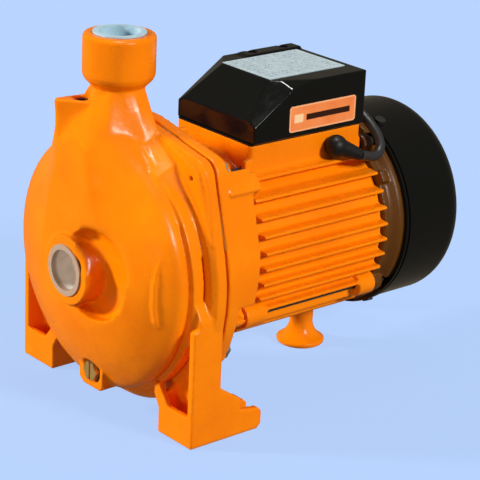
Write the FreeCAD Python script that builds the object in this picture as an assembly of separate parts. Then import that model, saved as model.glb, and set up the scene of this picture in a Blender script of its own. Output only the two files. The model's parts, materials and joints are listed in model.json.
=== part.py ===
import FreeCAD, Part
import math
import os

# Centrifugal water pump with a close-coupled single-phase motor. Millimetres.
# +X right seen from the suction side, +Y towards the motor, +Z up.
# Origin: centre between the two foot slots, on the base plane.

# ---- driving dimensions ----
AXIS_Z = 95.0            # shaft height over the base
SUCTION_Y = -76.0        # suction face
TOP_Z = 239.0            # discharge face
DISCHARGE_Y = SUCTION_Y + 38.0
DISC_R = 81.0            # front disc of the casing
BAND_R = 84.0            # casing side wall behind the disc
FLANGE_R = 92.0          # casing and bracket flange
FLANGE_Y = SUCTION_Y + 53.3    # rear face of the casing flange
GASKET_T = 1.2
PORT_BORE_R = 15.15      # minor radius of G1
PORT_BOSS_R = 22.3
PORT_DEPTH = 20.0
LEG_X = 89.5             # outer face of the legs
LEG_FRONT_Y = SUCTION_Y + 31.0
SLOT_X = 80.0
SLOT_W = 9.5
CAVITY_R = 74.0          # volute chamber
FLANGE_FRONT_Y = SUCTION_Y + 43.2
LUG_ANGLE = 47.0         # flange lugs, from horizontal
LUG_CENTRE_R = 94.0
LUG_R = 12.5
LOW_BOLT_ANGLE = 30.0
LOW_BOLT_R = 83.0

BRACKET_Y = FLANGE_Y + GASKET_T
BRACKET_REAR_Y = SUCTION_Y + 80.0
TAIL_REAR_Y = SUCTION_Y + 100.0
FRAME_Y0 = SUCTION_Y + 100.3
FRAME_Y1 = SUCTION_Y + 211.7
FIN_Y0 = SUCTION_Y + 106.5
FRAME_BORE_R = 54.3
FRAME_R = 58.5
FIN_TIP_R = 65.6
FIN_PITCH = 10.43
FIN_FIRST_DZ = 7.4       # first side fin over the shaft axis
FIN_T = 2.6
TIE_X = 49.0             # lower tie bolts
TIE_DZ = 37.5
UPPER_TIE_X = 31.0
UPPER_TIE_DZ = 52.5

BASE_X = 37.2            # terminal base, half width
BASE_Y0 = SUCTION_Y + 113.5
BASE_Y1 = SUCTION_Y + 207.5
BASE_TOP_Z = 164.3
COVER_X = 38.4
COVER_Y0 = SUCTION_Y + 115.0
COVER_Y1 = SUCTION_Y + 208.4
COVER_Z0 = 165.1
COVER_Z1 = 200.5
COVER_WALL = 2.2

SHIELD_Y1 = SUCTION_Y + 228.0
SHIELD_R = 62.0
SHIELD_RIM_R = 65.9      # rim that the fan cover slides over
FAN_COVER_R = 67.8
FAN_COVER_Y0 = SUCTION_Y + 225.5
FAN_COVER_Y1 = SUCTION_Y + 280.5
FAN_COVER_WALL = 1.6

SHAFT_R = 7.5
ROTOR_R = 27.5
ROTOR_Y0 = SUCTION_Y + 118.0
ROTOR_Y1 = SUCTION_Y + 198.0
FRONT_BEARING_Y = SUCTION_Y + 82.0
REAR_BEARING_Y = SUCTION_Y + 212.5
BEARING_W = 11.0
BEARING_R = 17.5
BALL_PATH_R = 12.5
BALL_R = 2.9
BALL_COUNT = 8
IMPELLER_R = 62.0
FOOT_Y = SUCTION_Y + 199.0

CORD_D = 6.5
CORD_R = CORD_D / 2.0
COIL_X = -114.0
COIL_Y = SUCTION_Y + 136.0
COIL_INNER_R = 24.0
COIL_OUTER_R = 46.0
COIL_HEIGHT = 2.0 * CORD_D

os.makedirs("parts", exist_ok=True)


# ---- helpers ----
def vec(x, y, z):
    return FreeCAD.Vector(x, y, z)


def box(x0, x1, y0, y1, z0, z1):
    return Part.makeBox(x1 - x0, y1 - y0, z1 - z0, vec(x0, y0, z0))


def cyl_x(radius, x0, x1, y, z):
    return Part.makeCylinder(radius, x1 - x0, vec(x0, y, z), vec(1, 0, 0))


def cyl_y(radius, y0, y1, x=0.0, z=AXIS_Z):
    return Part.makeCylinder(radius, y1 - y0, vec(x, y0, z), vec(0, 1, 0))


def cyl_z(radius, z0, z1, x, y):
    return Part.makeCylinder(radius, z1 - z0, vec(x, y, z0), vec(0, 0, 1))


def ring_y(outer, inner, y0, y1, x=0.0, z=AXIS_Z):
    return cyl_y(outer, y0, y1, x, z).cut(cyl_y(inner, y0, y1, x, z))


def outline(points, place):
    """Closed wire. A point (u, v) ends a line; (um, vm, u, v) ends an arc through (um, vm)."""
    edges = []
    last = points[0]
    for point in points[1:] + [points[0]]:
        start = place(*last)
        end = place(*point[-2:])
        if len(point) == 4:
            edges.append(Part.Arc(start, place(*point[:2]), end).toShape())
        elif start.distanceToPoint(end) > 1e-6:
            edges.append(Part.LineSegment(start, end).toShape())
        last = point[-2:]
    return Part.Wire(edges)


def prism_x(points, x0, x1):
    """Prism along X of an outline given in (y, z)."""
    wire = outline(points, lambda y, z: vec(x0, y, z))
    return Part.Face(wire).extrude(vec(x1 - x0, 0, 0))


def prism_y(points, y0, y1):
    """Prism along Y of an outline given in (x, z)."""
    wire = outline(points, lambda x, z: vec(x, y0, z))
    return Part.Face(wire).extrude(vec(0, y1 - y0, 0))


def prism_z(points, z0, z1):
    """Prism along Z of an outline given in (x, y)."""
    wire = outline(points, lambda x, y: vec(x, y, z0))
    return Part.Face(wire).extrude(vec(0, 0, z1 - z0))


def turned_y(points, x=0.0, z=AXIS_Z):
    """Turned solid about an axis along Y, from an outline given in (radius, y)."""
    wire = outline(points, lambda r, y: vec(x + r, y, z))
    return Part.Face(wire).revolve(vec(x, 0, z), vec(0, 1, 0), 360)


def turned_z(points, x, y):
    """Turned solid about an axis along Z, from an outline given in (radius, z)."""
    wire = outline(points, lambda r, z: vec(x + r, y, z))
    return Part.Face(wire).revolve(vec(x, y, 0), vec(0, 0, 1), 360)


def fuse(shapes):
    return shapes[0].multiFuse(shapes[1:]).removeSplitter()


def cut(shape, tools):
    return shape.cut(Part.makeCompound(tools)) if len(tools) == 1 else shape.cut(fuse(tools))


def mirrored(shape):
    return shape.mirror(vec(0, 0, 0), vec(1, 0, 0))


def both_sides(shape):
    return [shape, mirrored(shape)]


def turned_about_shaft(shape, degrees):
    copy = shape.copy()
    copy.rotate(vec(0, 0, AXIS_Z), vec(0, 1, 0), degrees)
    return copy


def hex_y(across_flats, y0, y1, x, z):
    radius = across_flats / math.sqrt(3.0)
    corners = [(x + radius * math.cos(math.radians(a)), z + radius * math.sin(math.radians(a)))
               for a in range(0, 360, 60)]
    return prism_y(corners, y0, y1)


def beyond_plane(a, b, c, away_from):
    """Big box that fills the side of the plane a, b, c which is away from a point."""
    size = 400.0
    normal = (b - a).cross(c - a)
    normal.normalize()
    if normal.dot(away_from - a) > 0:
        normal = normal * -1.0
    block = Part.makeBox(size, size, size, vec(-size / 2, -size / 2, 0))
    block.Placement = FreeCAD.Placement(a, FreeCAD.Rotation(vec(0, 0, 1), normal))
    return block


def teardrop(y, big_r, big_z, small_r, small_z):
    """Wire in the plane y: a big circle and a small one above it, joined by tangents."""
    lean = math.acos((big_r - small_r) / (small_z - big_z))
    s, c = math.sin(lean), math.cos(lean)

    def at(radius, z, sx, sz):
        return vec(radius * sx, y, z + radius * sz)
    right_low, right_high = at(big_r, big_z, s, c), at(small_r, small_z, s, c)
    left_low, left_high = at(big_r, big_z, -s, c), at(small_r, small_z, -s, c)
    return Part.Wire([
        Part.Arc(left_low, at(big_r, big_z, 0, -1), right_low).toShape(),
        Part.LineSegment(right_low, right_high).toShape(),
        Part.Arc(right_high, at(small_r, small_z, 0, 1), left_high).toShape(),
        Part.LineSegment(left_high, left_low).toShape()])


def hull_z(circles, z0, z1):
    """Prism along Z round two circles (x, y, radius), with their outer tangents."""
    (xa, ya, ra), (xb, yb, rb) = circles
    length = math.hypot(xb - xa, yb - ya)
    along = math.atan2(yb - ya, xb - xa)
    lean = math.acos((ra - rb) / length)
    corners = []
    for cx, cy, radius, side in ((xa, ya, ra, 1), (xb, yb, rb, 1), (xb, yb, rb, -1), (xa, ya, ra, -1)):
        angle = along + side * lean
        corners.append((cx + radius * math.cos(angle), cy + radius * math.sin(angle)))
    ends = [cyl_z(ra, z0, z1, xa, ya), cyl_z(rb, z0, z1, xb, yb)]
    return fuse([prism_z(corners, z0, z1)] + ends)


def flange_lug(angle, y0, y1, centre_r=LUG_CENTRE_R, radius=LUG_R):
    """Lug of a round flange: its tip circle and the tangents back to the flange."""
    lean = math.acos((FLANGE_R - radius) / centre_r)
    corners = [(FLANGE_R * math.cos(lean), FLANGE_R * math.sin(lean)),
               (centre_r + radius * math.cos(lean), radius * math.sin(lean)),
               (centre_r + radius * math.cos(lean), -radius * math.sin(lean)),
               (FLANGE_R * math.cos(lean), -FLANGE_R * math.sin(lean))]
    web = prism_y([(x, AXIS_Z + z) for x, z in corners], y0, y1)
    tip = cyl_y(radius, y0, y1, centre_r)
    return turned_about_shaft(fuse([web, tip]), -angle)


def around_shaft(radius, degrees):
    """(x, z) of a point at a radius and an angle from +X about the shaft."""
    angle = math.radians(degrees)
    return radius * math.cos(angle), AXIS_Z + radius * math.sin(angle)


def bolt_places():
    """(x, z) of the four casing bolts, two in the lugs and two lower down."""
    return [around_shaft(LUG_CENTRE_R, LUG_ANGLE), around_shaft(LUG_CENTRE_R, 180 - LUG_ANGLE),
            around_shaft(LOW_BOLT_R, -LOW_BOLT_ANGLE), around_shaft(LOW_BOLT_R, 180 + LOW_BOLT_ANGLE)]


def tie_places():
    return [(TIE_X, AXIS_Z - TIE_DZ), (-TIE_X, AXIS_Z - TIE_DZ),
            (UPPER_TIE_X, AXIS_Z + UPPER_TIE_DZ), (-UPPER_TIE_X, AXIS_Z + UPPER_TIE_DZ)]


def write(name, shape):
    shape.exportStep("parts/" + name + ".step")
    box_ = shape.BoundBox
    print("%-24s solids %2d  volume %9.0f  valid %s  z %.1f..%.1f" % (
        name, len(shape.Solids), shape.Volume, shape.isValid(), box_.ZMin, box_.ZMax))


# ---- wet end ----
DRAIN_X = 6.8
DRAIN_Z = 26.1
DRAIN_FACE_Y = SUCTION_Y + 19.1
PRIMING_X = -10.0
PRIMING_Y = SUCTION_Y + 18.5
TONGUE_Z = 199.0
POCKET_X = 22.0
POCKET_Z = 97.0
POCKET_R = 28.0
SLOT_BACK_Y = -6.0
DRAIN_PAD_Y = SUCTION_Y + 16.6
BOLT_END_Y = SUCTION_Y + 48.0
PAD_FACE = [(30, 66), (18.4, 75), (16.0, 80), (14.6, 90), (14.6, 104), (16.0, 112), (19.0, 121), (24.0, 130),
            (30, 134)]   # (depth, z) of the raised pad on the hood's right side
PRONG_REAR_Y = 11.0
PRONG_H = 14.5


def casing_front():
    """Hood of the casing, from the flush face round the suction boss to the side wall."""
    hood = [(3.0, 30.0, 99.0, 17.5, 161.0), (5.5, 42.0, 98.5, 17.6, 164.0),
            (9.5, 55.0, 98.5, 17.7, 169.0), (15.0, 67.0, 98.0, 17.8, 174.5),
            (20.0, 74.5, 97.0, 17.9, 176.5), (24.5, 79.2, 95.8, 18.0, 176.5),
            (29.0, DISC_R, 95.0, 18.0, 176.5)]      # (depth, big r, big z, small r, small z)
    sections = [teardrop(SUCTION_Y + d, r1, z1, r2, z2) for d, r1, z1, r2, z2 in hood]
    return Part.makeLoft(sections, True, False)


def blend(first, second):
    """Ruled solid between two polygons with the same number of corners."""
    wires = [Part.makePolygon([vec(*p) for p in points + points[:1]]) for points in (first, second)]
    return Part.makeLoft(wires, True, True)


def neck_root():
    """Slope from the hood's top up to the round neck under the collar."""
    low = [(-18.5, 3.2), (13.0, 3.2), (21.0, 14.0), (25.0, 29.0), (31.0, 37.0), (35.0, 46.5), (-35.0, 46.5),
           (-25.0, 29.0)]
    high = [(-12.0, 26.5), (0.0, 21.8), (9.5, 24.5), (15.2, 32.0), (16.3, 38.0), (15.5, 46.5), (-15.5, 46.5),
            (-16.0, 34.0)]
    rings = [[(x, SUCTION_Y + d, z) for x, d in outline] for outline, z in ((low, 150.0), (low, 174.0), (high, 207.0))]
    return fuse([blend(rings[0], rings[1]), blend(rings[1], rings[2])])


def shoulder():
    """Slope from the hood's edge out to the flange, over the upper part of the casing."""
    front = [(0.0, 110.0), (72.0, 120.0), (67.0, 140.0), (49.0, 162.0), (33.0, 170.5), (18.0, 182.0), (0.0, 186.0)]
    rear = [(0.0, 110.0), (82.0, 120.0), (72.0, 142.0), (50.5, 170.5), (34.0, 180.0), (20.0, 188.0), (0.0, 190.0)]

    def ring(points, y):
        return [(x, y, z) for x, z in points] + [(-x, y, z) for x, z in points[-2:0:-1]]
    return blend(ring(front, SUCTION_Y + 30.0), ring(rear, FLANGE_FRONT_Y + 2.5))


def side_wall(depth0, depth1, radius):
    face = Part.Face(teardrop(SUCTION_Y + depth0, radius, AXIS_Z, 18.0, 176.5))
    return face.extrude(vec(0, depth1 - depth0, 0))


def leg():
    """Right leg: outer wall, web behind it, foot plate with an open slot."""
    web = prism_y([(40, 48), (55, 30), (58, 0), (LEG_X, 0), (LEG_X, 80), (60, 92)],
                  SUCTION_Y + 44, FLANGE_Y)
    wall = prism_x([(LEG_FRONT_Y, 0), (SLOT_BACK_Y, 0), (SLOT_BACK_Y, 24), (SUCTION_Y + 52, 36),
                    (FLANGE_Y, 66), (SUCTION_Y + 46, 82), (LEG_FRONT_Y, 76)], LEG_X - 5, LEG_X)
    plate = box(58, LEG_X, LEG_FRONT_Y, SLOT_BACK_Y, 0, 12)
    front_lip = prism_y([(56.5, 0), (LEG_X, 0), (LEG_X, 20), (66, 20), (56, 32), (52, 32), (52, 24),
                         (56.5, 16)], LEG_FRONT_Y, LEG_FRONT_Y + 4)
    inner_rib = prism_x([(LEG_FRONT_Y, 0), (SUCTION_Y + 50, 0), (SUCTION_Y + 50, 34),
                         (LEG_FRONT_Y, 24)], 56.5, 60.5)
    back = prism_x([(FLANGE_Y, 0), (SLOT_BACK_Y + 2, 0), (SLOT_BACK_Y + 2, PRONG_H),
                    (SLOT_BACK_Y - 4, 20), (FLANGE_Y, 26)], 62, LEG_X)
    outer_prong = prism_x([(SLOT_BACK_Y - 2, 0), (PRONG_REAR_Y - 3, 0), (PRONG_REAR_Y, 3),
                           (PRONG_REAR_Y, PRONG_H - 3), (PRONG_REAR_Y - 3, PRONG_H),
                           (SLOT_BACK_Y - 2, PRONG_H + 2)], SLOT_X + SLOT_W / 2, LEG_X)
    inner_prong = prism_x([(SLOT_BACK_Y - 2, 0), (PRONG_REAR_Y - 3, 0), (PRONG_REAR_Y, 3),
                           (PRONG_REAR_Y, PRONG_H - 3), (PRONG_REAR_Y - 3, PRONG_H),
                           (SLOT_BACK_Y - 2, PRONG_H)], 64, SLOT_X - SLOT_W / 2)
    shape = fuse([web, wall, plate, front_lip, inner_rib, back, outer_prong, inner_prong])
    slot = fuse([box(SLOT_X - SLOT_W / 2, SLOT_X + SLOT_W / 2, SLOT_BACK_Y, PRONG_REAR_Y + 5, -1, 30),
                 cyl_z(SLOT_W / 2, -1, 30, SLOT_X, SLOT_BACK_Y)])
    return shape.cut(slot)


def pump_casing():
    wall = [side_wall(29.0, 31.0, DISC_R), side_wall(31.0, 33.5, DISC_R - 1.2),
            side_wall(33.5, 41.6, BAND_R), side_wall(41.6, 46.5, DISC_R - 1.5)]
    tongue = hull_z([(-16.0, SUCTION_Y + 6.6, 3.5), (0.0, DISCHARGE_Y, 15.2)], 140.0, TONGUE_Z)
    neck = turned_z([(0, 150), (15.2, 150), (15.2, 190), (15.7, 193), (15.7, 206),
                     (PORT_BOSS_R - 1.5, 211.0), (PORT_BOSS_R, 214.0), (PORT_BOSS_R, TOP_Z - 2.2),
                     (PORT_BOSS_R - 0.7, TOP_Z - 0.7, PORT_BOSS_R - 2.2, TOP_Z), (0, TOP_Z)],
                    0, DISCHARGE_Y)
    boss = cyl_y(PORT_BOSS_R, SUCTION_Y, SUCTION_Y + 34)
    flange = [turned_y([(0, FLANGE_FRONT_Y), (FLANGE_R - 3.5, FLANGE_FRONT_Y), (FLANGE_R, FLANGE_FRONT_Y + 3.0),
                        (FLANGE_R, FLANGE_Y - 1.0), (FLANGE_R - 1.0, FLANGE_Y), (0, FLANGE_Y)])]
    for angle in (LUG_ANGLE, 180.0 - LUG_ANGLE):
        flange += [flange_lug(angle, FLANGE_FRONT_Y + 3.0, FLANGE_Y),
                   flange_lug(angle, FLANGE_FRONT_Y + 1.0, FLANGE_Y, LUG_CENTRE_R - 3.0, LUG_R - 2.0)]
    pad = prism_x([(SUCTION_Y + d, z) for d, z in PAD_FACE], 40, 70)
    groove_face = [(8, 76), (21.0, 76), (19.8, 88), (19.8, 110), (21.5, 122), (8, 122)]
    pad_groove = prism_x([(SUCTION_Y + d, z) for d, z in groove_face], 70, 71.2)
    drain_pad = prism_y([(-7, 36), (-7, 18.5), (-2, 14.6), (15, 14.6), (18, 17), (18, 36)],
                        DRAIN_PAD_Y, SUCTION_Y + 30)
    pocket = cyl_y(POCKET_R, SUCTION_Y - 5, SUCTION_Y + 15, POCKET_X, POCKET_Z)
    pocket = pocket.makeFillet(5.0, [e for e in pocket.Edges if abs(e.BoundBox.YMin - SUCTION_Y - 15) < 0.1
                                     and e.BoundBox.YLength < 0.1])
    front = cut(casing_front(), [pocket, pad_groove])
    leg_root = prism_y([(66, 94), (84, 92), (LEG_X, 82), (LEG_X, 66), (76, 62), (66, 70)],
                       SUCTION_Y + 35.0, SUCTION_Y + 50.0)
    outer = fuse([front, boss, tongue, neck_root(), shoulder(), neck, pad, drain_pad] + wall + flange
                 + both_sides(leg_root) + both_sides(leg()))
    chamber = turned_y([(0, SUCTION_Y + 31), (50, SUCTION_Y + 31), (57, SUCTION_Y + 27),
                        (70, SUCTION_Y + 27), (CAVITY_R, SUCTION_Y + 32), (CAVITY_R, SUCTION_Y + 48),
                        (76, SUCTION_Y + 48), (76, FLANGE_Y), (0, FLANGE_Y)])
    bores = [chamber, cyl_y(PORT_BORE_R, SUCTION_Y - 1, SUCTION_Y + PORT_DEPTH),
             cyl_y(20.0, SUCTION_Y + 25, SUCTION_Y + 32), cyl_y(13.5, SUCTION_Y + 10, SUCTION_Y + 32),
             cyl_z(12.5, AXIS_Z + 55, TOP_Z - 10, 0, DISCHARGE_Y),
             cyl_z(PORT_BORE_R, TOP_Z - PORT_DEPTH, TOP_Z + 1, 0, DISCHARGE_Y),
             cyl_z(5.0, TONGUE_Z - 12, TONGUE_Z + 7.5, PRIMING_X, PRIMING_Y),
             cyl_z(3.5, AXIS_Z + 60, TONGUE_Z, PRIMING_X, PRIMING_Y + 7.0).cut(
                 cyl_z(4.0, TONGUE_Z - 14, TONGUE_Z + 1, PRIMING_X, PRIMING_Y + 7.0)),
             cyl_y(8.25, SUCTION_Y, DRAIN_FACE_Y, DRAIN_X, DRAIN_Z),
             cyl_y(4.2, DRAIN_FACE_Y - 1, SUCTION_Y + 33, DRAIN_X, DRAIN_Z)]
    bolts = [cyl_y(4.2, BOLT_END_Y - 0.5, FLANGE_Y + 1, x, z) for x, z in bolt_places()]
    pins = [cyl_y(1.5, FLANGE_FRONT_Y, BOLT_END_Y, x, z) for x, z in bolt_places()[:2]]
    return cut(outer, bores + bolts + pins)


def casing_gasket():
    ring = [cyl_y(FLANGE_R - 3.0, FLANGE_Y, BRACKET_Y)]
    ring += [flange_lug(a, FLANGE_Y, BRACKET_Y, LUG_CENTRE_R, LUG_R - 3.0) for a in (LUG_ANGLE, 180.0 - LUG_ANGLE)]
    holes = [cyl_y(76.0, FLANGE_Y, BRACKET_Y)]
    holes += [cyl_y(4.3, FLANGE_Y, BRACKET_Y, x, z) for x, z in bolt_places()]
    return cut(fuse(ring), holes)


SPIGOT_Y = SUCTION_Y + 48.3
SEAL_SEAT_Y = SUCTION_Y + 58.0
PLATE_REAR_Y = SUCTION_Y + 62.0
HUB_R = 24.5
PLATE_BACK_Y = SUCTION_Y + 56.0      # floor of the recess behind the plate
SKIRT_BELOW = 6.0        # degrees that the skirt spans under and over the shaft's height
SKIRT_ABOVE = 44.0
LUG_BLOCK_ANGLE = 39.5


def bolt_seats():
    """(x, z, y) of the face under each casing bolt's head."""
    return [(x, z, PLATE_REAR_Y + 1.0) for x, z in bolt_places()]


def skirt():
    """Right half of the deep part of the rim, from the foot up to the lug."""
    rim = fuse([cyl_y(FLANGE_R, PLATE_REAR_Y - 1, BRACKET_REAR_Y),
                flange_lug(LUG_ANGLE, PLATE_REAR_Y - 1, BRACKET_REAR_Y)])
    rim = rim.cut(cyl_y(FLANGE_R - 6.0, PLATE_REAR_Y - 2, BRACKET_REAR_Y + 1))
    low, high = around_shaft(200.0, -SKIRT_BELOW), around_shaft(200.0, SKIRT_ABOVE)
    wedge = prism_x([(PLATE_REAR_Y - 1, 0), (BRACKET_REAR_Y, 0), (BRACKET_REAR_Y, 300), (PLATE_REAR_Y - 1, 300)],
                    0, 200)
    wedge = wedge.common(prism_y([(0, AXIS_Z), low, (200, AXIS_Z), high], PLATE_REAR_Y - 1, BRACKET_REAR_Y))
    bevel = prism_x([(PLATE_REAR_Y + 11, AXIS_Z - 25), (BRACKET_REAR_Y + 1, AXIS_Z + 26),
                     (BRACKET_REAR_Y + 1, AXIS_Z - 25)], 0, 200)
    block = box(86, 101, PLATE_REAR_Y, SUCTION_Y + 86, AXIS_Z - 6, AXIS_Z + 6)
    return fuse([rim.common(wedge).cut(bevel), turned_about_shaft(block, -LUG_BLOCK_ANGLE)])


def motor_bracket():
    """Plate that closes the casing, hub with seal chamber and bearing seat, skirt, ribs, motor tail."""
    recess = ring_y(72.0, 30.0, PLATE_BACK_Y, PLATE_REAR_Y + 1)
    rim = turned_y([(0, BRACKET_Y), (FLANGE_R - 1.0, BRACKET_Y), (FLANGE_R, BRACKET_Y + 1.0),
                    (FLANGE_R, PLATE_REAR_Y + 1), (0, PLATE_REAR_Y + 1)])
    plate = fuse([cyl_y(75.7, SPIGOT_Y, PLATE_REAR_Y), rim]).cut(recess)
    solids = [plate, cyl_y(HUB_R, SPIGOT_Y, FRONT_BEARING_Y + BEARING_W + 1.0),
              ring_y(60.0, 53.0, PLATE_BACK_Y - 1, TAIL_REAR_Y),
              ring_y(54.0, 51.5, TAIL_REAR_Y - 1, TAIL_REAR_Y + 5)] + both_sides(skirt())
    solids += [flange_lug(a, BRACKET_Y, PLATE_REAR_Y + 1) for a in (LUG_ANGLE, 180.0 - LUG_ANGLE)]
    for x, z, y in bolt_seats():
        solids.append(cyl_y(9.5, BRACKET_Y, y, x, z))
    for angle in range(15, 375, 30):
        outer_rib = box(58, FLANGE_R - 4, PLATE_REAR_Y - 7, BRACKET_REAR_Y - 6, AXIS_Z - 1.75, AXIS_Z + 1.75)
        inner_rib = box(22, 55, PLATE_BACK_Y - 1, PLATE_REAR_Y + 22, AXIS_Z - 1.5, AXIS_Z + 1.5)
        solids += [turned_about_shaft(outer_rib, -angle), turned_about_shaft(inner_rib, -angle)]
    bores = [cyl_y(16.5, SPIGOT_Y - 1, SEAL_SEAT_Y), cyl_y(13.0, SEAL_SEAT_Y, SEAL_SEAT_Y + 6),
             cyl_y(9.5, SEAL_SEAT_Y + 5, FRONT_BEARING_Y), cyl_y(BEARING_R, FRONT_BEARING_Y, TAIL_REAR_Y),
             cyl_z(3.5, 0, AXIS_Z, 0, SUCTION_Y + 71)]
    bores += [cyl_y(4.2, BRACKET_Y - 1, y, x, z) for x, z, y in bolt_seats()]
    bores += [cyl_y(7.8, y, BRACKET_REAR_Y + 20, x, z) for x, z, y in bolt_seats()]
    bores += [cyl_y(2.4, TAIL_REAR_Y - 12, TAIL_REAR_Y + 1, x, z) for x, z in tie_places()]
    tie_bosses = [cyl_y(6.0, TAIL_REAR_Y - 14, TAIL_REAR_Y, x, z) for x, z in tie_places()]
    return cut(fuse(solids + tie_bosses), bores)


def casing_bolts():
    solids = []
    for x, z, y in bolt_seats():
        head = hex_y(13.0, y, y + 5.3, x, z)
        shank = cyl_y(4.0, BOLT_END_Y, y, x, z)
        solids.append(fuse([head, shank]))
    return Part.makeCompound(solids)


# ---- turning group ----
IMPELLER_Y0 = SUCTION_Y + 33.0
IMPELLER_Y1 = SUCTION_Y + 44.5
HUB_Y0 = SUCTION_Y + 30.0
HUB_Y1 = SUCTION_Y + 46.8
KEY = box(-1.5, 1.5, IMPELLER_Y0, IMPELLER_Y1, AXIS_Z + 4.5, AXIS_Z + 7.5)
SHAFT_END_Y = SUCTION_Y + 254.0


def vane():
    def at(radius, degrees):
        return around_shaft(radius, degrees)
    points = [at(15, 0), at(38, -25) + at(61.5, -62), at(61.5, -66), at(38, -31) + at(15, -14)]
    return prism_y(points, IMPELLER_Y0 + 2, IMPELLER_Y1 - 2)


def impeller():
    front = turned_y([(15.5, SUCTION_Y + 25.6), (19.6, SUCTION_Y + 25.6), (19.6, IMPELLER_Y0),
                      (IMPELLER_R, IMPELLER_Y0), (IMPELLER_R, IMPELLER_Y0 + 2.4), (15.5, IMPELLER_Y0 + 2.4)])
    back = cyl_y(IMPELLER_R, IMPELLER_Y1 - 2.4, IMPELLER_Y1)
    hub = cyl_y(11.0, HUB_Y0, HUB_Y1)
    vanes = [turned_about_shaft(vane(), 60 * i) for i in range(6)]
    return cut(fuse([front, back, hub] + vanes), [cyl_y(6.0, HUB_Y0 - 1, HUB_Y1 + 1), KEY])


def impeller_nut():
    return hex_y(13.0, HUB_Y0 - 6.0, HUB_Y0, 0, AXIS_Z).cut(cyl_y(5.0, HUB_Y0 - 7, HUB_Y0 + 1))


def motor_shaft():
    steps = [(5.0, HUB_Y0 - 7.5), (5.0, HUB_Y0), (6.0, HUB_Y0), (6.0, HUB_Y1), (7.0, HUB_Y1),
             (7.0, FRONT_BEARING_Y), (SHAFT_R, FRONT_BEARING_Y), (SHAFT_R, FRONT_BEARING_Y + BEARING_W),
             (10.0, FRONT_BEARING_Y + BEARING_W), (10.0, REAR_BEARING_Y), (SHAFT_R, REAR_BEARING_Y),
             (SHAFT_R, REAR_BEARING_Y + BEARING_W), (6.0, REAR_BEARING_Y + BEARING_W), (6.0, SHAFT_END_Y)]
    return turned_y([(0, HUB_Y0 - 7.5)] + steps + [(0, SHAFT_END_Y)]).cut(KEY)


def rotor_core():
    core = ring_y(ROTOR_R, 10.0, ROTOR_Y0, ROTOR_Y1)
    front_ring = ring_y(ROTOR_R - 1.5, ROTOR_R - 9.0, ROTOR_Y0 - 6, ROTOR_Y0)
    rear_ring = ring_y(ROTOR_R - 1.5, ROTOR_R - 9.0, ROTOR_Y1, ROTOR_Y1 + 6)
    return fuse([core, front_ring, rear_ring])


def seal_bellows():
    y0 = HUB_Y1
    return turned_y([(7.0, y0), (12.5, y0), (12.5, y0 + 2), (10.5, y0 + 3), (12.0, y0 + 4), (10.5, y0 + 5),
                     (12.0, y0 + 6), (12.0, y0 + 7.2), (7.0, y0 + 7.2)])


def bearing(y0):
    """Outer ring, inner ring, and the balls in their cage."""
    middle = y0 + BEARING_W / 2
    groove = Part.makeTorus(BALL_PATH_R, BALL_R + 0.35, vec(0, middle, AXIS_Z), vec(0, 1, 0))
    outer = ring_y(BEARING_R, BALL_PATH_R + 1.9, y0, y0 + BEARING_W).cut(groove)
    inner = ring_y(BALL_PATH_R - 1.9, SHAFT_R, y0, y0 + BEARING_W).cut(groove)
    cage = ring_y(BALL_PATH_R + 0.8, BALL_PATH_R - 0.8, middle - 4.2, middle + 4.2)
    pocket = Part.makeCylinder(BALL_R + 0.2, 6, vec(BALL_PATH_R - 3, middle, AXIS_Z), vec(1, 0, 0))
    balls = []
    for i in range(BALL_COUNT):
        angle = 360.0 / BALL_COUNT * i
        cage = cage.cut(turned_about_shaft(pocket, angle))
        x, z = around_shaft(BALL_PATH_R, angle)
        balls.append(Part.makeSphere(BALL_R, vec(x, middle, z)))
    return outer, inner, Part.makeCompound([cage] + balls)


def cooling_fan():
    disc_y = SUCTION_Y + 236.0
    solids = [cyl_y(10.0, disc_y - 2, disc_y + 14), cyl_y(34.0, disc_y, disc_y + 2)]
    for i in range(8):
        blade = box(8, 54, disc_y, disc_y + 26, AXIS_Z - 1, AXIS_Z + 1)
        notch = box(30, 60, disc_y - 1, disc_y + 4, AXIS_Z - 2, AXIS_Z + 2)
        solids.append(turned_about_shaft(blade.cut(notch) if i % 2 else blade, 45 * i))
    return fuse(solids).cut(cyl_y(6.0, disc_y - 3, SHAFT_END_Y))


# ---- motor ----
def stator_core():
    core = ring_y(FRAME_BORE_R, 28.2, ROTOR_Y0, ROTOR_Y1)
    slots = [turned_about_shaft(box(27, 40, ROTOR_Y0, ROTOR_Y1, AXIS_Z - 1.2, AXIS_Z + 1.2), 15 * i)
             for i in range(24)]
    return cut(core, slots)


def stator_windings():
    rings = []
    for y0, y1 in ((ROTOR_Y0 - 15, ROTOR_Y0), (ROTOR_Y1, ROTOR_Y1 + 11)):
        rings.append(turned_y([(33, y0), (48, y0), (50.5, y0 + 2.5), (50.5, y1), (31, y1), (31, y0 + 2)]))
    return Part.makeCompound(rings)


FOOT_TOP_Z = 28.0
GROMMET_Y = SUCTION_Y + 181.5
GROMMET_Z = 154.5


def side_fin(dz):
    root = math.sqrt(FRAME_R ** 2 - dz ** 2) - 2.0
    tip = math.sqrt(FIN_TIP_R ** 2 - dz ** 2)
    z = AXIS_Z + dz
    half_root, half_tip = FIN_T / 2 + 0.3, FIN_T / 2 - 0.2
    return prism_y([(root, z - half_root), (tip, z - half_tip), (tip, z + half_tip), (root, z + half_root)],
                   FIN_Y0, FRAME_Y1)


def bottom_fin(x):
    top = AXIS_Z - math.sqrt(FRAME_R ** 2 - x ** 2) + 2.0
    tip = AXIS_Z - math.sqrt(FIN_TIP_R ** 2 - x ** 2)
    return box(x - FIN_T / 2, x + FIN_T / 2, FIN_Y0, FRAME_Y1, tip, top)


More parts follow.
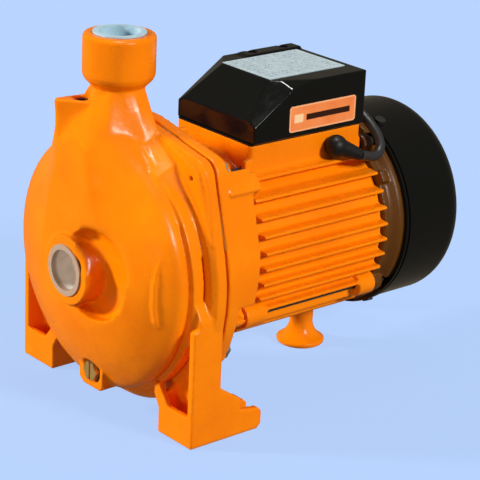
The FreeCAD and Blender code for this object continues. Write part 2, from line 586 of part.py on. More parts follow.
def motor_frame():
    solids = [cyl_y(FRAME_R, FRAME_Y0, FRAME_Y1)]
    for step in range(-5, 5):
        solids += both_sides(side_fin(FIN_FIRST_DZ + step * FIN_PITCH))
    for x in (9.0, 19.0, 29.0, 38.0, 46.5):
        solids += both_sides(bottom_fin(x))
    base = box(-BASE_X, BASE_X, BASE_Y0, BASE_Y1, AXIS_Z + 35, BASE_TOP_Z)
    solids.append(base.makeFillet(3.0, [e for e in base.Edges if e.BoundBox.ZLength > 10]))
    solids += both_sides(prism_y([(BASE_X - 4, AXIS_Z + 60), (BASE_X - 4, AXIS_Z + 47), (41.5, AXIS_Z + 47),
                                  (41.5, AXIS_Z + 50), (BASE_X, AXIS_Z + 52), (BASE_X, AXIS_Z + 60)],
                                 BASE_Y0 - 4, BASE_Y1))
    for x, z in tie_places()[:2]:
        solids += [cyl_y(8.0, FRAME_Y0, FRAME_Y0 + 17, x, z), cyl_y(8.0, FRAME_Y1 - 14, FRAME_Y1, x, z)]
    solids.append(cyl_z(10.0, FOOT_TOP_Z, AXIS_Z - FRAME_R + 3, 0, FOOT_Y))
    chamber = box(-BASE_X + 3.6, BASE_X - 3.6, BASE_Y0 + 4, BASE_Y1 - 4, AXIS_Z + 40, BASE_TOP_Z + 1)
    chamber = chamber.cut(cyl_y(64.5, BASE_Y0, BASE_Y1))
    bores = [cyl_y(FRAME_BORE_R, FRAME_Y0 - 1, FRAME_Y1 + 1), chamber,
             cyl_x(4.6, BASE_X - 8, BASE_X + 1, GROMMET_Y, GROMMET_Z),
             cyl_z(2.9, FOOT_TOP_Z - 1, AXIS_Z - FRAME_R + 2, 0, FOOT_Y)]
    bores += [cyl_y(2.6, FRAME_Y0 - 1, FRAME_Y1 + 1, x, z) for x, z in tie_places()]
    return cut(fuse(solids), bores)


EAR_ANGLES = (34.0, 146.0)
COVER_SCREW_ANGLES = (68.0, 112.0, 248.0, 292.0)
COVER_SCREW_Y = SUCTION_Y + 236.0


def rear_end_shield():
    y0 = FRAME_Y1 + 0.2
    solids = [ring_y(54.0, 51.0, y0 - 5, y0 + 1), cyl_y(SHIELD_R, y0, y0 + 5),
              turned_y([(57, y0 + 4), (SHIELD_R, y0 + 4), (SHIELD_R, y0 + 5), (SHIELD_RIM_R, y0 + 10),
                        (SHIELD_RIM_R, SHIELD_Y1), (57, SHIELD_Y1)]), cyl_y(HUB_R, SUCTION_Y + 206, SHIELD_Y1 - 1)]
    solids += [cyl_y(7.0, y0, y0 + 7, x, z) for x, z in tie_places()]
    for angle in EAR_ANGLES:
        ear = prism_z([(58, y0), (66.5, y0), (66.5, y0 + 4), (62, y0 + 10), (58, y0 + 10)],
                      AXIS_Z - 4, AXIS_Z + 4)
        solids.append(turned_about_shaft(ear, -angle))
    for angle in COVER_SCREW_ANGLES:
        lug = box(58, FAN_COVER_R - FAN_COVER_WALL - 0.2, SUCTION_Y + 220, COVER_SCREW_Y + 4.5,
                  AXIS_Z - 5, AXIS_Z + 5)
        hole = cyl_x(1.6, 57, 70, COVER_SCREW_Y, AXIS_Z)
        solids.append(turned_about_shaft(lug.cut(hole), -angle))
    for angle in range(0, 360, 60):
        rib = box(20, 58, y0 + 3, SHIELD_Y1 - 3, AXIS_Z - 1.5, AXIS_Z + 1.5)
        solids.append(turned_about_shaft(rib, angle + 30))
    bores = [cyl_y(BEARING_R, SUCTION_Y + 205, REAR_BEARING_Y + BEARING_W + 1.0),
             cyl_y(8.5, REAR_BEARING_Y, SHIELD_Y1 + 1)]
    bores += [cyl_y(2.6, y0 - 1, y0 + 12, x, z) for x, z in tie_places()]
    bores += [cyl_y(6.0, y0 + 7, SHIELD_Y1 + 1, x, z) for x, z in tie_places()]
    return cut(fuse(solids), bores)


def tie_bolts():
    head_y = FRAME_Y1 + 7.2
    solids = []
    for x, z in tie_places():
        shank = cyl_y(2.3, TAIL_REAR_Y - 10, head_y, x, z)
        solids.append(fuse([shank, hex_y(8.0, head_y, head_y + 3.5, x, z)]))
    return Part.makeCompound(solids)


def fan_cover():
    r, w, y1, bend = FAN_COVER_R, FAN_COVER_WALL, FAN_COVER_Y1, 13.0
    side = y1 - bend
    diagonal = math.sqrt(0.5)
    inner_bend = bend - w
    shell = turned_y([
        (r, FAN_COVER_Y0), (r, side),
        (r - bend + bend * diagonal, side + bend * diagonal, r - bend, y1), (0, y1), (0, y1 - w),
        (r - bend, y1 - w),
        (r - bend + inner_bend * diagonal, side + inner_bend * diagonal, r - w, side), (r - w, FAN_COVER_Y0)])
    slots = [turned_about_shaft(box(16, 47, y1 - 4, y1 + 1, AXIS_Z - 2, AXIS_Z + 2), 20 * i) for i in range(18)]
    holes = [turned_about_shaft(cyl_x(2.0, 60, 75, COVER_SCREW_Y, AXIS_Z), -a) for a in COVER_SCREW_ANGLES]
    beads = [ring_y(r + 0.8, r - 0.5, FAN_COVER_Y0 + d, FAN_COVER_Y0 + d + 1.5) for d in (0.0, 3.2)]
    return cut(fuse([shell] + beads), slots + holes)


def fan_cover_screws():
    screw = fuse([cyl_x(3.6, FAN_COVER_R + 0.05, FAN_COVER_R + 2.2, COVER_SCREW_Y, AXIS_Z),
                  cyl_x(1.5, 59, FAN_COVER_R + 1, COVER_SCREW_Y, AXIS_Z)])
    return Part.makeCompound([turned_about_shaft(screw, -a) for a in COVER_SCREW_ANGLES])


def support_foot():
    bell = turned_z([(0, 0), (15.4, 0), (16.4, 1.0), (16.4, 3.2), (10.2, 8.6, 8.1, 19.0), (8.1, FOOT_TOP_Z),
                     (0, FOOT_TOP_Z)], 0, FOOT_Y)
    return cut(bell, [cyl_z(3.2, -1, FOOT_TOP_Z + 1, 0, FOOT_Y), cyl_z(6.0, -1, 6.0, 0, FOOT_Y)])


def support_foot_screw():
    head = cyl_z(5.0, 1.5, 6.0, 0, FOOT_Y).cut(box(-6, 6, FOOT_Y - 0.7, FOOT_Y + 0.7, 1, 2.8))
    return fuse([head, cyl_z(2.8, 6.0, AXIS_Z - FRAME_R + 1, 0, FOOT_Y)])


# ---- terminal box ----
COVER_SLOPE_Z = 179.0
COVER_SLOPE_Y = COVER_Y0 + 22.5
RIDGE_X = -25.0
RIDGE_Y = SUCTION_Y + 159.0
RIDGE_TOP = 202.0
POST_X = -31.5
POST_YS = (SUCTION_Y + 170.0, SUCTION_Y + 197.0)


def cover_body(inset):
    """Cover solid, drawn in by a wall thickness; its front corners are cut by flat facets."""
    y0, y1, top, x = COVER_Y0 + inset, COVER_Y1 - inset, COVER_Z1 - inset, COVER_X - inset
    body = prism_x([(y0, COVER_Z0), (y0, COVER_SLOPE_Z - 0.4 * inset), (COVER_SLOPE_Y + 0.4 * inset, top),
                    (y1, top), (y1, COVER_Z0)], -x, x)
    if inset == 0:
        ridge = prism_x([(RIDGE_Y, top - 2), (RIDGE_Y, top), (RIDGE_Y + 4.5, RIDGE_TOP), (y1, RIDGE_TOP),
                         (y1, top - 2)], -x, RIDGE_X)
        bevel = beyond_plane(vec(-x, 0, RIDGE_TOP - 5), vec(-x, 10, RIDGE_TOP - 5),
                             vec(-x + 3, 0, RIDGE_TOP), vec(0, 0, 180))
        body = fuse([body, ridge.cut(bevel)])
    centre = vec(0, (y0 + y1) / 2, 180)
    facets = []
    corner = [vec(COVER_X, COVER_Y0 + 4.5, COVER_SLOPE_Z), vec(COVER_X - 5, COVER_Y0, COVER_SLOPE_Z),
              vec(COVER_X, COVER_Y0 + 31, COVER_Z1 - 4)]
    upper = [corner[2], vec(COVER_X, COVER_Y0 + 52, COVER_Z1), vec(COVER_X - 13, COVER_Y0 + 20, COVER_Z1)]
    for points in (corner, upper):
        normal = (points[1] - points[0]).cross(points[2] - points[0])
        normal.normalize()
        if normal.dot(centre - points[0]) < 0:
            normal = normal * -1.0
        moved = [p + normal * inset for p in points]
        facets.append(beyond_plane(moved[0], moved[1], moved[2], centre))
    left = mirrored(facets[0])
    return cut(body, [facets[0], facets[1], left])


def terminal_cover():
    outer = cover_body(0.0)
    inner = cover_body(COVER_WALL)
    posts = [cyl_z(4.4, COVER_Z0 + 0.5, COVER_Z1 - 1, POST_X, y) for y in POST_YS]
    wells = []
    for y in POST_YS:
        wells += [cyl_z(3.6, RIDGE_TOP - 4, RIDGE_TOP + 1, POST_X, y), cyl_z(1.9, COVER_Z0, RIDGE_TOP, POST_X, y)]
    return cut(fuse([outer.cut(inner)] + posts), wells)


def terminal_gasket():
    ring = box(-BASE_X, BASE_X, BASE_Y0, BASE_Y1, BASE_TOP_Z, COVER_Z0)
    ring = ring.makeFillet(3.0, [e for e in ring.Edges if e.BoundBox.ZLength > 0.5])
    return ring.cut(box(-BASE_X + 3.6, BASE_X - 3.6, BASE_Y0 + 4, BASE_Y1 - 4, BASE_TOP_Z, COVER_Z0))


def terminal_cover_screws():
    solids = []
    for y in POST_YS:
        head = cyl_z(3.2, RIDGE_TOP - 4, RIDGE_TOP - 1.6, POST_X, y)
        head = head.cut(box(POST_X - 2.4, POST_X + 2.4, y - 0.4, y + 0.4, RIDGE_TOP - 2.6, RIDGE_TOP))
        solids.append(fuse([head, cyl_z(1.7, COVER_Z0 - 7, RIDGE_TOP - 4, POST_X, y)]))
    return Part.makeCompound(solids)


def terminal_block():
    y0, y1 = SUCTION_Y + 150.0, SUCTION_Y + 178.0
    block = box(8, 26, y0, y1, AXIS_Z + 65, 171.0)
    wells = []
    for i in range(3):
        y = y0 + 5 + 9 * i
        wells += [cyl_z(2.4, 167, 172, 12.5, y), cyl_z(2.4, 167, 172, 21.5, y)]
    return cut(block, wells)


def capacitor():
    y0 = SUCTION_Y + 140.0
    can = cyl_y(14.0, y0, y0 + 56, -8.0, 181.5)
    tabs = [box(-12, -10.8, y0 - 7, y0, 178, 185), box(-5.2, -4, y0 - 7, y0, 178, 185)]
    return fuse([can] + tabs)


def capacitor_clip():
    y0 = SUCTION_Y + 163.0
    band = ring_y(15.2, 14.0, y0, y0 + 10, -8.0, 181.5)
    leg_ = box(-9, -7, y0, y0 + 10, AXIS_Z + 64.6, 167.4)
    foot = box(-14, -2, y0, y0 + 10, AXIS_Z + 64.5, AXIS_Z + 65.8)
    return fuse([band, leg_, foot])


def earth_screw():
    head = cyl_z(3.6, AXIS_Z + 64.6, AXIS_Z + 67.4, 14, SUCTION_Y + 132)
    return head.cut(box(10, 18, SUCTION_Y + 131.5, SUCTION_Y + 132.5, AXIS_Z + 66.2, AXIS_Z + 68))


def nameplate():
    return box(-23.6, 23.6, SUCTION_Y + 139.0, SUCTION_Y + 202.7, COVER_Z1, COVER_Z1 + 0.4)


def side_label():
    y0, y1, z0, z1 = SUCTION_Y + 143.5, SUCTION_Y + 200.0, 168.5, 185.5
    plate = box(COVER_X, COVER_X + 0.3, y0, y1, z0, z1)
    return plate.makeFillet(2.0, [e for e in plate.Edges if e.BoundBox.XLength > 0.2])


# ---- plugs ----
def port_cup():
    """Transit plug of a port, pointing along +Y from a face at y = 0; its axis is z = 0."""
    wire = outline([(0, 16.0), (14.2, 16.0), (14.75, 15.0), (14.75, -0.05), (16.3, -0.05), (16.3, -1.1),
                    (12.9, -1.1), (12.3, 14.4), (0, 14.4)], lambda r, y: vec(r, y, 0))
    return Part.Face(wire).revolve(vec(0, 0, 0), vec(0, 1, 0), 360)


def suction_plug():
    cup = port_cup()
    cup.translate(vec(0, SUCTION_Y, AXIS_Z))
    return cup


def discharge_plug():
    cup = port_cup()
    cup.rotate(vec(0, 0, 0), vec(1, 0, 0), -90)
    cup.translate(vec(0, DISCHARGE_Y, TOP_Z))
    return cup


def drain_plug():
    y0 = DRAIN_FACE_Y - 1.0
    head = hex_y(11.5, y0 - 3.3, y0, DRAIN_X, DRAIN_Z)
    slot = box(DRAIN_X - 0.8, DRAIN_X + 0.8, y0 - 4, y0 - 1.8, DRAIN_Z - 8, DRAIN_Z + 8)
    return fuse([head.cut(slot), cyl_y(3.9, y0, DRAIN_FACE_Y + 8, DRAIN_X, DRAIN_Z)])


def drain_washer():
    return ring_y(7.6, 3.9, DRAIN_FACE_Y - 1.0, DRAIN_FACE_Y, DRAIN_X, DRAIN_Z)


def priming_plug():
    body = cyl_z(4.7, TONGUE_Z - 11, TONGUE_Z - 1.5, PRIMING_X, PRIMING_Y)
    return body.cut(cyl_z(2.6, TONGUE_Z - 5, TONGUE_Z, PRIMING_X, PRIMING_Y))


# ---- cord ----
BOOT_END = vec(50.0, SUCTION_Y + 196.5, 148.3)
ROUTE_TO_COIL = [
    (50.0, 120.5, 148.3), (50.9, 128.5, 145.8), (50.2, 135.5, 145.4), (47.9, 140.4, 148.8), (43.9, 142.4, 154.4),
    (36.5, 142.4, 160.8), (26.0, 142.2, 166.8), (13.0, 142.2, 170.8), (-2.0, 142.2, 172.0),
    (-17.0, 142.2, 170.0), (-32.0, 142.2, 164.6), (-47.0, 142.2, 155.2), (-60.5, 142.2, 141.6),
    (-70.5, 142.2, 124.5), (-76.5, 142.2, 105.5), (-78.6, 142.2, 85.5), (-79.0, 142.4, 66.0),
    (-79.4, 142.0, 48.0), (-79.9, 138.6, 31.0), (-80.2, 128.8, 16.4), (-79.8, 114.2, 6.6), (-78.8, 98.0, 3.3),
    (-76.6, 86.0, 3.3)]
ROUTE_TO_PLUG = [
    (-149.0, 90.0, 9.0), (-146.5, 99.0, 6.8), (-142.8, 107.5, 6.6), (-139.4, 116.5, 9.2), (-137.0, 126.0, 13.0)]


def cord_tube(route):
    """Straight runs joined by tangent arcs as large as the runs allow."""
    points = [vec(*p) for p in route]
    edges, radii = [], []
    last = points[0]
    for before, corner, after in zip(points, points[1:], points[2:]):
        into, out = (corner - before), (after - corner)
        shorter = min(into.Length, out.Length)
        into.normalize()
        out.normalize()
        turn = into.getAngle(out)
        trim = 0.45 * shorter
        radius = trim / math.tan(turn / 2)
        start, end = corner - into * trim, corner + out * trim
        inward = out - into
        inward.normalize()
        middle = corner + inward * (radius / math.cos(turn / 2) - radius)
        edges += [Part.LineSegment(last, start).toShape(), Part.Arc(start, middle, end).toShape()]
        radii.append(round(radius))
        last = end
    edges.append(Part.LineSegment(last, points[-1]).toShape())
    path = Part.Wire(edges)
    section = Part.Wire([Part.makeCircle(CORD_R, points[0], points[1] - points[0])])
    tube = path.makePipeShell([section], True, False, 2)
    straight = math.pi * CORD_R ** 2 * path.Length
    print("cord radii", radii, "length %.0f" % path.Length, "volume ratio %.4f" % (tube.Volume / straight))
    return tube


def strain_relief():
    """Rubber boot: round bulb against the terminal base, tapering along the cord."""
    bulb = Part.makeSphere(7.6, vec(BASE_X + 5.2, GROMMET_Y, GROMMET_Z))
    bulb = bulb.cut(box(0, BASE_X, GROMMET_Y - 20, GROMMET_Y + 20, GROMMET_Z - 20, GROMMET_Z + 20))
    neck = cyl_x(4.3, BASE_X - 5, BASE_X + 2, GROMMET_Y, GROMMET_Z)
    start = vec(BASE_X + 7.0, GROMMET_Y + 2.0, GROMMET_Z - 0.6)
    along = BOOT_END - start
    taper = Part.makeCone(6.0, CORD_R + 0.5, along.Length, start, along)
    return fuse([bulb, neck, taper])


def power_cable():
    return Part.makeCompound([cord_tube(ROUTE_TO_COIL), cord_tube(ROUTE_TO_PLUG)])


def coil_tie_band(y0, y1):
    outer = box(COIL_INNER_R - 1.0, COIL_OUTER_R + 1.0, y0, y1, 0.0, COIL_HEIGHT + 0.9)
    inner = box(COIL_INNER_R, COIL_OUTER_R, y0, y1, 0.8, COIL_HEIGHT)
    band = outer.cut(inner)
    band.rotate(vec(0, 0, 0), vec(0, 0, 1), 90)
    band.translate(vec(COIL_X, COIL_Y, 0))
    return band


def cable_coil():
    ring = cyl_z(COIL_OUTER_R, 0, COIL_HEIGHT, COIL_X, COIL_Y)
    ring = ring.cut(cyl_z(COIL_INNER_R, -1, COIL_HEIGHT + 1, COIL_X, COIL_Y))
    return ring.cut(coil_tie_band(-2.6, 2.6))


PLUG_START = vec(-137.0, 126.0, 13.0)
PLUG_TURN = -14.0


def placed_plug(shape):
    """From a plug drawn along +Y at the origin to its place on the floor."""
    shape.rotate(vec(0, 0, 0), vec(0, 0, 1), PLUG_TURN)
    shape.translate(PLUG_START)
    return shape


def mains_plug():
    grip = Part.makeLoft([
        Part.Wire([Part.makeCircle(4.4, vec(0, 0, 0), vec(0, 1, 0))]),
        Part.Wire([Part.makeCircle(6.0, vec(0, 16, 0), vec(0, 1, 0))]),
        Part.Wire([Part.makeCircle(9.5, vec(0, 22, 0), vec(0, 1, 0))])], True, True)
    body = box(-16, 16, 22, 40, -13, 13)
    body = body.makeFillet(8.0, [e for e in body.Edges if e.BoundBox.YLength > 10])
    return placed_plug(fuse([grip, body]))


def plug_pins():
    earth = box(-0.8, 0.8, 40, 59, -9.6, -3.3)
    live = box(-0.8, 0.8, 40, 57, 1.2, 7.5)
    pins = [earth]
    for side in (1, -1):
        pin = live.copy()
        pin.rotate(vec(0, 0, 4.3), vec(0, 1, 0), 30 * side)
        pin.translate(vec(6.9 * side, 0, 0))
        pins.append(pin)
    return placed_plug(Part.makeCompound(pins))


# ---- write every node ----
front_bearing = bearing(FRONT_BEARING_Y)
rear_bearing = bearing(REAR_BEARING_Y)
NODES = {
    "pump_casing": pump_casing(),
    "casing_gasket": casing_gasket(),
    "motor_bracket": motor_bracket(),
    "casing_bolts": casing_bolts(),
    "impeller": impeller(),
    "impeller_key": KEY,
    "impeller_nut": impeller_nut(),
    "seal_bellows": seal_bellows(),
    "seal_face": ring_y(11.5, 7.0, HUB_Y1 + 7.2, SEAL_SEAT_Y - 0.3),
    "seal_seat": ring_y(13.0, 8.5, SEAL_SEAT_Y, SEAL_SEAT_Y + 6.0),
    "slinger": ring_y(9.0, 7.0, SUCTION_Y + 74, SUCTION_Y + 77),
    "motor_shaft": motor_shaft(),
    "rotor_core": rotor_core(),
    "front_bearing_outer": front_bearing[0],
    "front_bearing_inner": front_bearing[1],
    "front_ball_cage": front_bearing[2],
    "rear_bearing_outer": rear_bearing[0],
    "rear_bearing_inner": rear_bearing[1],
    "rear_ball_cage": rear_bearing[2],
    "wave_washer": ring_y(17.0, 14.6, REAR_BEARING_Y + BEARING_W, REAR_BEARING_Y + BEARING_W + 0.8),
    "stator_core": stator_core(),
    "stator_windings": stator_windings(),
    "motor_frame": motor_frame(),
    "rear_end_shield": rear_end_shield(),
    "tie_bolts": tie_bolts(),
    "cooling_fan": cooling_fan(),
    "fan_cover": fan_cover(),
    "fan_cover_screws": fan_cover_screws(),
    "support_foot": support_foot(),
    "support_foot_screw": support_foot_screw(),
    "terminal_gasket": terminal_gasket(),
    "terminal_cover": terminal_cover(),
    "terminal_cover_screws": terminal_cover_screws(),
    "terminal_block": terminal_block(),
    "capacitor": capacitor(),
    "capacitor_clip": capacitor_clip(),
    "earth_screw": earth_screw(),
    "nameplate": nameplate(),
    "side_label": side_label(),
    "suction_plug": suction_plug(),
    "discharge_plug": discharge_plug(),
    "drain_plug": drain_plug(),
    "drain_washer": drain_washer(),
    "priming_plug": priming_plug(),
    "strain_relief": strain_relief(),
    "power_cable": power_cable(),
    "cable_coil": cable_coil(),
    "coil_tie": coil_tie_band(-2.5, 2.5),
    "mains_plug": mains_plug(),
    "plug_pins": plug_pins(),
}
for name, shape in NODES.items():
    write(name, shape)
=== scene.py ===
"""Looks of the centrifugal water pump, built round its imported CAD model. Metres."""
import json
import math

import bmesh
import bpy
import numpy as np
from mathutils import Matrix, Vector


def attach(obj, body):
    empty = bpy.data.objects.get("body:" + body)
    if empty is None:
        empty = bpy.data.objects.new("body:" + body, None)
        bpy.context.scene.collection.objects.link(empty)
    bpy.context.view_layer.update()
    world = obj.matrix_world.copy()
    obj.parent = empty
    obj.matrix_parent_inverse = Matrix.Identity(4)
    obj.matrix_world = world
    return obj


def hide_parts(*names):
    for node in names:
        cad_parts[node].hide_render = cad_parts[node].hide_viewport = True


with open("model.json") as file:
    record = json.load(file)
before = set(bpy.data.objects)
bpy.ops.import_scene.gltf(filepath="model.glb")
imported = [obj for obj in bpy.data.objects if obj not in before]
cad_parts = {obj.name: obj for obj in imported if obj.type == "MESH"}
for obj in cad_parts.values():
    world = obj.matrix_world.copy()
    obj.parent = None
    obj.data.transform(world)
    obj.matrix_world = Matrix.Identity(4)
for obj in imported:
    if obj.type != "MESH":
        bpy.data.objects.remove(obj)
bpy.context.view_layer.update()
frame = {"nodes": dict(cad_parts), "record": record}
nodes = frame["nodes"]
MM = 0.001

# ---- camera ----
CAMERA_AT = Vector((0.8971, -0.7126, 0.5244))
CAMERA_AZIMUTH = 49.11
CAMERA_ELEVATION = 20.29
CAMERA_ROLL = 2.58
CAMERA_LENS = 144.48
SENSOR_WIDTH = 36.0
CLIP_START, CLIP_END = 0.05, 20.0


def make_camera():
    data = bpy.data.cameras.new("camera")
    data.lens, data.sensor_width, data.sensor_fit = CAMERA_LENS, SENSOR_WIDTH, "HORIZONTAL"
    data.clip_start, data.clip_end = CLIP_START, CLIP_END
    camera = bpy.data.objects.new("camera", data)
    bpy.context.scene.collection.objects.link(camera)
    azimuth, elevation = math.radians(CAMERA_AZIMUTH), math.radians(CAMERA_ELEVATION)
    turn = Matrix.Rotation(azimuth, 4, "Z") @ Matrix.Rotation(math.pi / 2 - elevation, 4, "X")
    roll = Matrix.Rotation(math.radians(CAMERA_ROLL), 4, "Z")
    camera.matrix_world = Matrix.Translation(CAMERA_AT) @ turn @ roll
    bpy.context.scene.camera = camera


make_camera()

# ---- cord: the route of the CAD tubes, with the coil's turns worked out between them ----
CORD_D = 6.5 * MM
ROUTE_TO_COIL = [
    (0.0500, 0.1205, 0.1483), (0.0509, 0.1285, 0.1458), (0.0502, 0.1355, 0.1454),
    (0.0479, 0.1404, 0.1488), (0.0439, 0.1424, 0.1544), (0.0365, 0.1424, 0.1608),
    (0.0260, 0.1422, 0.1668), (0.0130, 0.1422, 0.1708), (-0.0020, 0.1422, 0.1720),
    (-0.0170, 0.1422, 0.1700), (-0.0320, 0.1422, 0.1646), (-0.0470, 0.1422, 0.1552),
    (-0.0605, 0.1422, 0.1416), (-0.0705, 0.1422, 0.1245), (-0.0765, 0.1422, 0.1055),
    (-0.0786, 0.1422, 0.0855), (-0.0790, 0.1424, 0.0660), (-0.0794, 0.1420, 0.0480),
    (-0.0799, 0.1386, 0.0310), (-0.0802, 0.1288, 0.0164), (-0.0798, 0.1142, 0.0066),
    (-0.0788, 0.0980, 0.0033), (-0.0766, 0.0860, 0.0033)]
ROUTE_TO_PLUG = [
    (-0.1490, 0.0900, 0.0090), (-0.1465, 0.0990, 0.0068), (-0.1428, 0.1075, 0.0066),
    (-0.1394, 0.1165, 0.0092), (-0.1370, 0.1260, 0.0130)]
COIL_CENTRE = Vector((-0.114, 0.060, 0.0))
COIL_OUTER = 42.7 * MM       # radius of the turns' own line
COIL_INNER = 27.3 * MM
COIL_LEAVES_AT = 39.6 * MM
COIL_START = 20.0            # degrees from +X, turning clockwise
COIL_END = -1620.0
COIL_STEP = 20.0
INWARD_TURNS = 2.29
CLIMB_TURNS = 0.40


def coil_point(degrees):
    """Lower layer winding inwards, a climb at the inside, upper layer winding outwards."""
    turned = (COIL_START - degrees) / 360.0
    outward_turns = (COIL_START - COIL_END) / 360.0 - INWARD_TURNS - CLIMB_TURNS
    inward = min(1.0, turned / INWARD_TURNS)
    climb = min(1.0, max(0.0, (turned - INWARD_TURNS) / CLIMB_TURNS))
    outward = max(0.0, (turned - INWARD_TURNS - CLIMB_TURNS) / outward_turns)
    radius = (COIL_OUTER + (COIL_INNER - COIL_OUTER) * inward
              + (COIL_LEAVES_AT - COIL_INNER) * outward)
    smooth = climb * climb * (3 - 2 * climb)
    angle = math.radians(degrees)
    return (COIL_CENTRE.x + radius * math.cos(angle), COIL_CENTRE.y + radius * math.sin(angle),
            CORD_D * (0.5 + smooth))


def coil_points():
    count = round((COIL_START - COIL_END) / COIL_STEP)
    return [coil_point(COIL_START - COIL_STEP * i) for i in range(count + 1)]


def make_cord():
    points = ROUTE_TO_COIL + coil_points() + ROUTE_TO_PLUG
    data = bpy.data.curves.new("cord", "CURVE")
    data.dimensions = "3D"
    spline = data.splines.new("NURBS")
    spline.points.add(len(points) - 1)
    for place, point in zip(points, spline.points):
        point.co = (*place, 1.0)
        point.radius = CORD_D / 2
    spline.order_u = 3
    spline.use_endpoint_u = True
    spline.resolution_u = 6
    data.bevel_depth = 1.0
    data.bevel_resolution = 5
    data.use_fill_caps = True
    cord = bpy.data.objects.new("cord", data)
    bpy.context.scene.collection.objects.link(cord)
    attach(cord, "root")
    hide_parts("power_cable", "cable_coil")
    return cord


cord = make_cord()


# ---- shader helpers ----
class Shader:
    """A Principled material and short ways to add nodes to it."""

    def __init__(self, name, colour, roughness, metallic=0.0, **sockets):
        self.material = bpy.data.materials.new(name)
        self.material.use_nodes = True
        self.tree = self.material.node_tree
        self.bsdf = self.tree.nodes["Principled BSDF"]
        self.bsdf.inputs["Base Color"].default_value = (*colour, 1.0)
        self.bsdf.inputs["Roughness"].default_value = roughness
        self.bsdf.inputs["Metallic"].default_value = metallic
        for socket, value in sockets.items():
            self.bsdf.inputs[socket.replace("_", " ")].default_value = value
        coordinates = self.tree.nodes.new("ShaderNodeTexCoord")
        self.place = coordinates.outputs["Object"]
        self.height = None

    def link(self, output, socket):
        self.tree.links.new(output, socket)

    def stretched(self, sx, sy, sz):
        """Object coordinates scaled along each axis."""
        node = self.tree.nodes.new("ShaderNodeMapping")
        node.inputs["Scale"].default_value = (sx, sy, sz)
        self.link(self.place, node.inputs["Vector"])
        return node.outputs["Vector"]

    def noise(self, scale, detail=3.0, rough=0.55, place=None):
        node = self.tree.nodes.new("ShaderNodeTexNoise")
        node.inputs["Scale"].default_value = scale
        node.inputs["Detail"].default_value = detail
        node.inputs["Roughness"].default_value = rough
        self.link(place or self.place, node.inputs["Vector"])
        return node.outputs["Fac"]

    def spread(self, value, low, high, to_low=0.0, to_high=1.0):
        """Maps low..high to to_low..to_high, clamped."""
        node = self.tree.nodes.new("ShaderNodeMapRange")
        sockets = ("From Min", "From Max", "To Min", "To Max")
        for socket, number in zip(sockets, (low, high, to_low, to_high)):
            node.inputs[socket].default_value = number
        self.link(value, node.inputs["Value"])
        return node.outputs["Result"]

    def maths(self, operation, first, second=0.0):
        node = self.tree.nodes.new("ShaderNodeMath")
        node.operation = operation
        for socket, value in zip(node.inputs, (first, second)):
            if isinstance(value, float):
                socket.default_value = value
            else:
                self.link(value, socket)
        return node.outputs["Value"]

    def distance(self, value, centre):
        return self.maths("ABSOLUTE", self.maths("SUBTRACT", value, centre))

    def within(self, distance, half, fade):
        """1 where a distance is under half, falling to 0 over the fade beyond it."""
        return self.spread(distance, half, half + fade, 1.0, 0.0)

    def beyond(self, distance, half, fade):
        """0 where a distance is under half, rising to 1 over the fade beyond it."""
        return self.spread(distance, half, half + fade)

    def axis(self, name):
        node = self.tree.nodes.new("ShaderNodeSeparateXYZ")
        self.link(self.place, node.inputs["Vector"])
        return node.outputs[name]

    def mix(self, factor, first, second):
        node = self.tree.nodes.new("ShaderNodeMix")
        node.data_type = "RGBA"
        self.link(factor, node.inputs["Factor"])
        for socket, value in ((node.inputs[6], first), (node.inputs[7], second)):
            if isinstance(value, tuple):
                socket.default_value = (*value, 1.0)
            else:
                self.link(value, socket)
        return node.outputs[2]

    def colour(self, output):
        self.link(output, self.bsdf.inputs["Base Color"])

    def roughness(self, output):
        self.link(output, self.bsdf.inputs["Roughness"])

    def bump(self, height, depth):
        """Adds a layer of relief; depth is its full height in metres."""
        node = self.tree.nodes.new("ShaderNodeBump")
        node.inputs["Strength"].default_value = 1.0
        node.inputs["Distance"].default_value = depth
        self.link(height, node.inputs["Height"])
        if self.height is not None:
            self.link(self.height, node.inputs["Normal"])
        self.height = node.outputs["Normal"]
        self.link(self.height, self.bsdf.inputs["Normal"])


# ---- materials ----
def paint(name, light, dark, rough, grain):
    """Orange enamel; grain is the depth of the sand-cast relief under it, in metres."""
    s = Shader(name, light, rough, Specular_IOR_Level=0.28)
    patches = s.spread(s.noise(28.0, 2.0), 0.35, 0.7)
    s.colour(s.mix(patches, light, dark))
    s.roughness(s.spread(s.noise(70.0, 4.0), 0.3, 0.7, rough - 0.05, rough + 0.07))
    s.bump(s.noise(500.0, 3.0, 0.6), grain * 0.3)
    s.bump(s.noise(90.0, 2.0, 0.5), grain)
    return s.material


def gloss_black():
    """Moulded cover plastic with a faint waviness and scuffs."""
    s = Shader("gloss_black", (0.003, 0.0036, 0.0035), 0.14, Specular_IOR_Level=0.3)
    scuffs = s.noise(60.0, 5.0, 0.7, s.stretched(1.0, 0.25, 1.0))
    s.roughness(s.spread(scuffs, 0.45, 0.75, 0.10, 0.26))
    s.bump(s.noise(45.0, 1.0), 0.00015)
    s.bump(s.noise(900.0, 2.0), 0.00002)
    return s.material


def rubber(name="rubber", shade=0.006, rough=0.45, specular=0.35):
    s = Shader(name, (shade, shade, shade), rough, Specular_IOR_Level=specular)
    dust = s.spread(s.noise(160.0, 4.0, 0.6), 0.5, 0.8)
    s.colour(s.mix(dust, (shade,) * 3, (shade * 1.8,) * 3))
    s.roughness(s.spread(s.noise(250.0, 3.0), 0.3, 0.7, rough - 0.08, rough + 0.1))
    s.bump(s.noise(1500.0, 2.0), 0.00003)
    return s.material


# where the suction plug's rim of painted light starts and where it is full, along Y
RIM_BACK_Y, RIM_FRONT_Y = -0.0725, -0.0745


